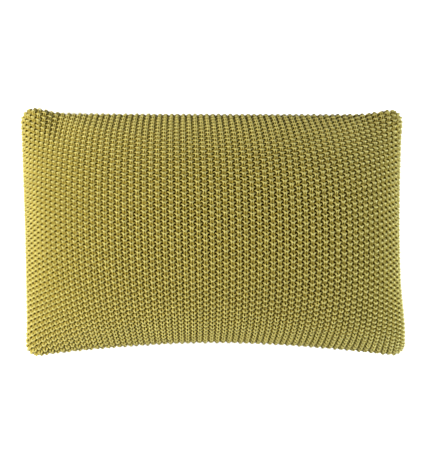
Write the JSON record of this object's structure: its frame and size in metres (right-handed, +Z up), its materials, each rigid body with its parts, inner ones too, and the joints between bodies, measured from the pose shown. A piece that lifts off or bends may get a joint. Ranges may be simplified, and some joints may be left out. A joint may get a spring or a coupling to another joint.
{
  "type": "knitted cushion",
  "caption": "Oblong filled scatter cushion with a thick moss-stitch knit cover, lying on its back, for a sofa, chair or bed.",
  "frame": {"origin": "on the surface that the cushion lies on, under the middle of its outline", "axes": "+X along the long side, +Y along the short side towards the top edge, +Z up, out of the front face"},
  "size_m": [0.5716, 0.3668, 0.144],
  "materials": {
    "knit_cover": "thick matt cotton yarn in moss stitch, mustard to olive green"
  },
  "bodies": {
    "root": {"cushion": "knit_cover"}
  },
  "joints": []
}
